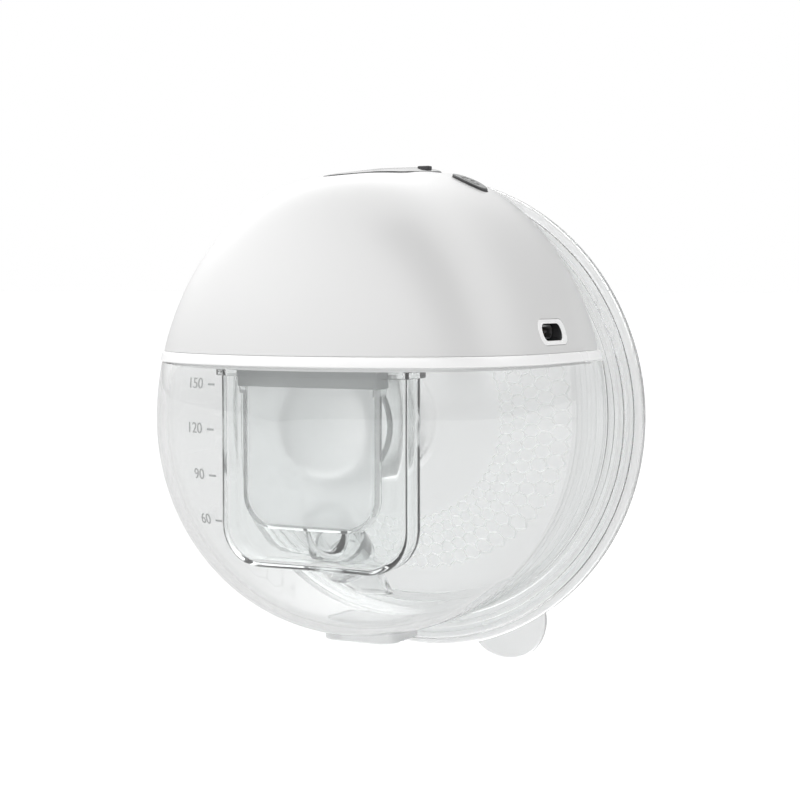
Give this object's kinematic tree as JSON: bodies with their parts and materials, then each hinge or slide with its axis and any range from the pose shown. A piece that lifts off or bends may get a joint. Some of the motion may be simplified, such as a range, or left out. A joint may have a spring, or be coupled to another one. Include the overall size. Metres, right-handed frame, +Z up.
{
  "type": "breast pump",
  "caption": "Hands-free wearable breast pump: domed white motor unit on a clear milk collector, with clear linker, pocket diaphragm, duckbill valve and silicone flange.",
  "frame": {"origin": "middle of the underside of the collector's foot", "axes": "+Z up, +Y towards the wearer (out of the flange mouth), +X to the right seen from the front, where the charging port is"},
  "size_m": [0.117, 0.0748, 0.1206],
  "materials": {
    "clear_plastic": "clear, polished",
    "linker_plastic": "clear, polished",
    "silicone": "translucent satin",
    "flange_silicone": "translucent satin with a raised honeycomb",
    "white_housing": "satin",
    "white_base": "satin",
    "panel_black": "glossy",
    "button_grey": "satin",
    "bar_black": "satin",
    "switch_black": "moulded",
    "display_black": "glossy",
    "circuit_green": "solder mask",
    "screw_steel": "plain",
    "socket_steel": "plain",
    "battery_foil": "foil laminate",
    "foam_black": "foam",
    "motor_can": "plated can",
    "nylon": "moulded",
    "brass": "turned",
    "coil_black": "moulded"
  },
  "bodies": {
    "collector": {"collector_cup": "clear_plastic"},
    "linker": {"linker_body": "linker_plastic", "diaphragm": "silicone", "duckbill_valve": "silicone"},
    "flange": {"flange": "flange_silicone"},
    "motor_unit": {"upper_housing": "white_housing", "base_cover": "white_base", "case_screw_1": "screw_steel", "case_screw_2": "screw_steel", "case_screw_3": "screw_steel", "case_screw_4": "screw_steel", "control_panel": "panel_black", "power_switch": "switch_black", "level_switch": "switch_black", "mode_switch": "switch_black", "led_display": "display_black", "main_board": "circuit_green", "board_screw_1": "screw_steel", "board_screw_2": "screw_steel", "port_bezel": "white_housing", "usb_socket": "socket_steel", "charging_board": "circuit_green", "battery_cell": "battery_foil", "battery_pad": "foam_black", "pump_motor": "motor_can", "pump_head": "nylon", "pump_cover": "nylon", "motor_saddle": "nylon", "air_nozzle": "nylon", "solenoid_body": "coil_black", "plunger_spring": "screw_steel", "suction_hose": "silicone", "release_hose": "silicone"},
    "power_button": {"power_button": "button_grey"},
    "level_button": {"level_button": "button_grey"},
    "mode_button": {"mode_button": "bar_black"},
    "eccentric": {"eccentric": "brass"},
    "plunger": {"solenoid_plunger": "screw_steel"}
  },
  "joints": [
    {"name": "motor_unit_lift", "type": "slide", "parent": "collector", "child": "motor_unit", "axis": [0, 0, 1], "range_m": [0, 0.055]},
    {"name": "linker_pull", "type": "slide", "parent": "collector", "child": "linker", "axis": [0, 1, 0], "range_m": [0, 0.065]},
    {"name": "flange_pull", "type": "slide", "parent": "linker", "child": "flange", "axis": [0, 1, 0], "range_m": [0, 0.05]},
    {"name": "power_press", "type": "slide", "parent": "motor_unit", "child": "power_button", "axis": [0, 0, -1], "range_m": [0, 0.0005], "stiffness_N_per_m": 2000, "springref_m": -0.0002},
    {"name": "level_press", "type": "slide", "parent": "motor_unit", "child": "level_button", "axis": [0, 0, -1], "range_m": [0, 0.0005], "stiffness_N_per_m": 2000, "springref_m": -0.0002},
    {"name": "mode_press", "type": "slide", "parent": "motor_unit", "child": "mode_button", "axis": [0, 0, -1], "range_m": [0, 0.0005], "stiffness_N_per_m": 2000, "springref_m": -0.0002},
    {"name": "pump_spin", "type": "hinge", "parent": "motor_unit", "child": "eccentric", "pos_m": [0.001, -0.018, 0.0839], "axis": [1, 0, 0], "continuous": true},
    {"name": "valve_plunger", "type": "slide", "parent": "motor_unit", "child": "plunger", "axis": [0, 0, -1], "range_m": [0, 0.0015], "stiffness_N_per_m": 300, "springref_m": -0.001, "deforming": ["plunger_spring"]}
  ]
}
